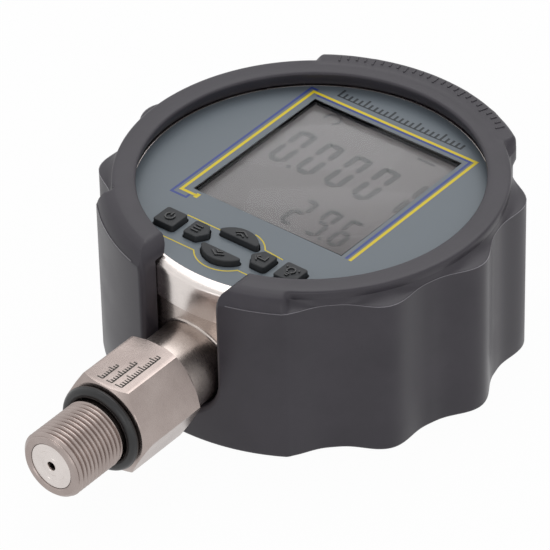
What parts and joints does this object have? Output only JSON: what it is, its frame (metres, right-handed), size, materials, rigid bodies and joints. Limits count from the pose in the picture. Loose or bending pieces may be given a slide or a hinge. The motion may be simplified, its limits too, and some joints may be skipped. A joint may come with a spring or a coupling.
{
  "type": "digital pressure gauge",
  "caption": "Digital pressure gauge: round steel case with a segment display and soft keys, a hex and threaded stem, in a lobed rubber boot.",
  "frame": {"origin": "centre of the footprint's bounding rectangle, on the plane that the boot's back rests on; the dial's axis is 26.25 mm towards +Y from it", "axes": "+Z out of the dial, -Y along the stem from the case to the thread's end, +X to the dial's right"},
  "size_m": [0.1194, 0.1719, 0.0535],
  "materials": {
    "boot_rubber": "satin moulded rubber, dark grey",
    "case_steel": "turned stainless steel",
    "bezel_steel": "spun and polished stainless steel",
    "stem_steel": "machined stainless steel",
    "seal_rubber": "smooth black nitrile",
    "overlay_film": "fine matt slate film with printed lines",
    "panel_plastic": "moulded ABS",
    "window_clear": "clear acrylic",
    "display_grey": "reflective segment display",
    "diffuser_white": "milky light guide",
    "strip_pink": "striped contact rubber",
    "board_green": "solder mask",
    "chip_black": "moulded epoxy",
    "screw_steel": "zinc plated",
    "key_rubber": "matt black silicone",
    "dome_metal": "snap domes",
    "tray_plastic": "moulded ABS",
    "cell_jacket": "plain shrink sleeve",
    "contact_metal": "nickel plated",
    "door_plastic": "textured ABS",
    "ribbon_film": "flat flexible cable"
  },
  "bodies": {
    "gauge": {"rubber_boot": "boot_rubber", "case_cup": "case_steel", "bezel_ring": "bezel_steel", "bezel_gasket": "seal_rubber", "front_panel": "panel_plastic", "face_overlay": "overlay_film", "display_window": "window_clear", "lcd_frame": "panel_plastic", "lcd_glass": "display_grey", "backlight": "diffuser_white", "lcd_connectors": "strip_pink", "main_board": "board_green", "board_chips": "chip_black", "board_screws": "screw_steel", "keypad_mat": "key_rubber", "key_domes": "dome_metal", "battery_holder": "tray_plastic", "holder_screws": "screw_steel", "batteries": "cell_jacket", "battery_contacts": "contact_metal", "battery_door": "door_plastic", "door_seal": "seal_rubber", "door_screws": "screw_steel", "process_connector": "stem_steel", "sealing_ring": "seal_rubber", "orifice_disc": "stem_steel", "pressure_sensor": "stem_steel", "sensor_seal": "seal_rubber", "sensor_clamp": "stem_steel", "sensor_board": "board_green", "sensor_ribbon": "ribbon_film", "stem_saddle": "stem_steel", "stem_nut": "stem_steel"},
    "power_key": {"power_key": "key_rubber"},
    "set_key": {"set_key": "key_rubber"},
    "up_key": {"up_key": "key_rubber"},
    "down_key": {"down_key": "key_rubber"},
    "return_key": {"return_key": "key_rubber"},
    "light_key": {"light_key": "key_rubber"}
  },
  "joints": [
    {"name": "power_press", "type": "slide", "parent": "gauge", "child": "power_key", "axis": [0, 0, -1], "range_m": [0, 0.0008], "stiffness_N_per_m": 900},
    {"name": "set_press", "type": "slide", "parent": "gauge", "child": "set_key", "axis": [0, 0, -1], "range_m": [0, 0.0008], "stiffness_N_per_m": 900},
    {"name": "up_press", "type": "slide", "parent": "gauge", "child": "up_key", "axis": [0, 0, -1], "range_m": [0, 0.0008], "stiffness_N_per_m": 900},
    {"name": "down_press", "type": "slide", "parent": "gauge", "child": "down_key", "axis": [0, 0, -1], "range_m": [0, 0.0008], "stiffness_N_per_m": 900},
    {"name": "return_press", "type": "slide", "parent": "gauge", "child": "return_key", "axis": [0, 0, -1], "range_m": [0, 0.0008], "stiffness_N_per_m": 900},
    {"name": "light_press", "type": "slide", "parent": "gauge", "child": "light_key", "axis": [0, 0, -1], "range_m": [0, 0.0008], "stiffness_N_per_m": 900}
  ]
}
